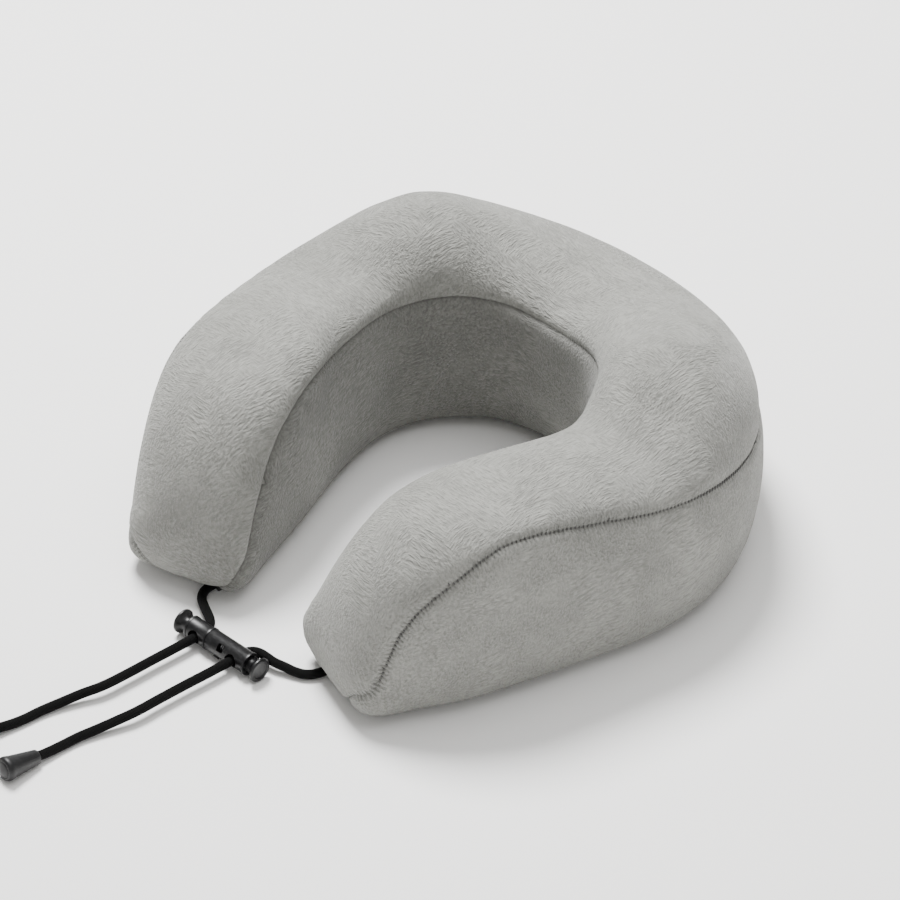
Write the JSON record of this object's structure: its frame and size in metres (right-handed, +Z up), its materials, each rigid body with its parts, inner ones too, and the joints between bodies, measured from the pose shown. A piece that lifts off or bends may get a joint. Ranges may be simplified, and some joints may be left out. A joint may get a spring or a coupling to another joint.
{
  "type": "travel neck pillow",
  "caption": "U-shaped foam neck pillow in a zipped velour cover, with drawcords, a push-button cord lock that parts in two, and bell-shaped cord ends.",
  "frame": {"origin": "on the floor under the middle of the cushion's box, measured without the cords and what is on them", "axes": "+Z up, the U's opening and the cords towards -Y, the back of the neck towards +Y; the cushion is symmetric about X = 0"},
  "size_m": [0.2638, 0.4127, 0.1121],
  "materials": {
    "velour": "short-pile velour",
    "foam": "open-cell memory foam",
    "liner": "fine knit",
    "cord": "braided polyester",
    "zip_fabric": "woven tape",
    "zip_coil": "nylon coil",
    "zip_metal": "plated zinc, satin",
    "lock_plastic": "satin to gloss",
    "spring_steel": "bright wire"
  },
  "bodies": {
    "cushion": {"foam_core": "foam", "inner_liner": "liner", "top_panel": "velour", "outer_wall_panel": "velour", "inner_wall_panel": "velour", "bottom_panel": "velour", "bartack_left": "cord", "bartack_right": "cord", "zip_tape_upper": "zip_fabric", "zip_tape_lower": "zip_fabric", "zip_coil_upper": "zip_coil", "zip_coil_lower": "zip_coil", "zip_top_stop": "zip_metal", "zip_bottom_stop": "zip_metal", "cord_left": "cord", "cord_right_lead": "cord", "bell_left": "lock_plastic", "bell_cap_left": "lock_plastic", "knot_left": "cord"},
    "cord_right": {"cord_right_tail": "cord", "bell_right": "lock_plastic", "bell_cap_right": "lock_plastic", "knot_right": "cord"},
    "lock_left": {"barrel_left": "lock_plastic", "spring_left": "spring_steel"},
    "push_left": {"button_left": "lock_plastic"},
    "lock_right": {"barrel_right": "lock_plastic", "spring_right": "spring_steel"},
    "push_right": {"button_right": "lock_plastic"},
    "slider": {"zip_slider": "zip_metal"},
    "pull": {"zip_pull": "zip_metal"}
  },
  "joints": [
    {"name": "lock_left_slide", "type": "slide", "parent": "cushion", "child": "lock_left", "axis": [-0.0599, -0.9982, 0], "range_m": [0, 0.045]},
    {"name": "release", "type": "slide", "parent": "cushion", "child": "cord_right", "axis": [0.9994, 0.0349, 0], "range_m": [0, 0.014], "deforming": ["cord_right_lead"]},
    {"name": "lock_right_slide", "type": "slide", "parent": "cord_right", "child": "lock_right", "axis": [-0.0599, -0.9982, 0], "range_m": [0, 0.045]},
    {"name": "press_left", "type": "slide", "parent": "lock_left", "child": "push_left", "axis": [0.9994, 0.0349, 0], "range_m": [0, 0.0024], "stiffness_N_per_m": 500, "deforming": ["spring_left"]},
    {"name": "press_right", "type": "slide", "parent": "lock_right", "child": "push_right", "axis": [-0.9994, -0.0349, 0], "range_m": [0, 0.0024], "stiffness_N_per_m": 500, "deforming": ["spring_right"]},
    {"name": "zip_run", "type": "hinge", "parent": "cushion", "child": "slider", "pos_m": [0, 0.001, 0.017], "axis": [0, 0, 1], "range_deg": [0, 57]},
    {"name": "pull_flip", "type": "hinge", "parent": "slider", "child": "pull", "pos_m": [0.06635, 0.1237, 0.01664], "axis": [0.0666, 0.1231, 0.9902], "range_deg": [-150, 0]}
  ],
  "couplings": [
    {"joint": "lock_right_slide", "follows": "lock_left_slide", "ratio": 1}
  ]
}
